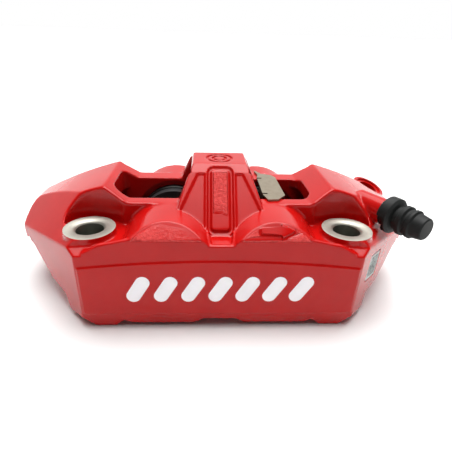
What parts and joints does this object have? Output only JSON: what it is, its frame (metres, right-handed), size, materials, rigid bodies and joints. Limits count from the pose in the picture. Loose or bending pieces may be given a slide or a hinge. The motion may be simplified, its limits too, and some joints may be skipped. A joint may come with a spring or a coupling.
{
  "type": "radial-mount disc brake caliper",
  "caption": "Fixed monobloc brake caliper with opposed pistons, bridge and windows over the disc slot, radial bolt bosses, pads, pad spring and capped bleed screw.",
  "frame": {"origin": "midway between the two mounting holes, on the mounting plane under the feet", "axes": "+X along the line of the two mounting holes, +Y from the outer face towards the wheel, +Z along the mounting bolts, away from the axle"},
  "size_m": [0.174, 0.0721, 0.0585],
  "materials": {
    "painted_body": "gloss red paint over cast and machined aluminium",
    "anodised": "dark hard-anodised, turned",
    "cap_paint": "gloss red paint, turned",
    "seal_rubber": "smooth moulded",
    "steel": "turned and ground",
    "spring_steel": "pressed stainless strip, satin",
    "pad_steel": "black powder coat",
    "lining": "sintered friction material, matt and pitted",
    "cap_rubber": "matt moulded",
    "label": "printed label, plain grey pattern with pale border"
  },
  "bodies": {
    "caliper": {"caliper_body": "painted_body", "bore_cap_left": "cap_paint", "bore_cap_right": "cap_paint", "bore_cap_oring_left": "seal_rubber", "bore_cap_oring_right": "seal_rubber", "pad_pin": "steel", "pad_pin_clip": "steel", "pad_spring": "spring_steel", "abutment_plates": "spring_steel", "side_label": "label", "outboard_fluid_seal_left": "seal_rubber", "outboard_dust_seal_left": "seal_rubber", "outboard_fluid_seal_right": "seal_rubber", "outboard_dust_seal_right": "seal_rubber", "inboard_fluid_seal_left": "seal_rubber", "inboard_dust_seal_left": "seal_rubber", "inboard_fluid_seal_right": "seal_rubber", "inboard_dust_seal_right": "seal_rubber"},
    "outboard_left_piston": {"outboard_piston_left": "anodised"},
    "outboard_right_piston": {"outboard_piston_right": "anodised"},
    "outboard_pad": {"outboard_pad_plate": "pad_steel", "outboard_pad_lining": "lining"},
    "inboard_left_piston": {"inboard_piston_left": "anodised"},
    "inboard_right_piston": {"inboard_piston_right": "anodised"},
    "inboard_pad": {"inboard_pad_plate": "pad_steel", "inboard_pad_lining": "lining"},
    "bleed_screw": {"bleed_screw": "steel"},
    "bleed_cap": {"bleed_cap": "cap_rubber"}
  },
  "joints": [
    {"name": "outboard_left_piston_travel", "type": "slide", "parent": "caliper", "child": "outboard_left_piston", "axis": [0, 1, 0], "range_m": [0, 0.003]},
    {"name": "outboard_right_piston_travel", "type": "slide", "parent": "caliper", "child": "outboard_right_piston", "axis": [0, 1, 0], "range_m": [0, 0.003]},
    {"name": "outboard_pad_travel", "type": "slide", "parent": "caliper", "child": "outboard_pad", "axis": [0, 1, 0], "range_m": [0, 0.003]},
    {"name": "inboard_left_piston_travel", "type": "slide", "parent": "caliper", "child": "inboard_left_piston", "axis": [0, -1, 0], "range_m": [0, 0.003]},
    {"name": "inboard_right_piston_travel", "type": "slide", "parent": "caliper", "child": "inboard_right_piston", "axis": [0, -1, 0], "range_m": [0, 0.003]},
    {"name": "inboard_pad_travel", "type": "slide", "parent": "caliper", "child": "inboard_pad", "axis": [0, -1, 0], "range_m": [0, 0.003]},
    {"name": "bleed_screw_turn", "type": "hinge", "parent": "caliper", "child": "bleed_screw", "pos_m": [0.0689, 0.0053, 0.042], "axis": [0.5, -0.866, 0], "range_deg": [0, 180]},
    {"name": "bleed_cap_pull", "type": "slide", "parent": "bleed_screw", "child": "bleed_cap", "axis": [0.5, -0.866, 0], "range_m": [0, 0.02]}
  ],
  "couplings": [
    {"joint": "outboard_right_piston_travel", "follows": "outboard_left_piston_travel", "ratio": 1},
    {"joint": "outboard_pad_travel", "follows": "outboard_left_piston_travel", "ratio": 1},
    {"joint": "inboard_left_piston_travel", "follows": "outboard_left_piston_travel", "ratio": 1},
    {"joint": "inboard_right_piston_travel", "follows": "outboard_left_piston_travel", "ratio": 1},
    {"joint": "inboard_pad_travel", "follows": "outboard_left_piston_travel", "ratio": 1}
  ]
}
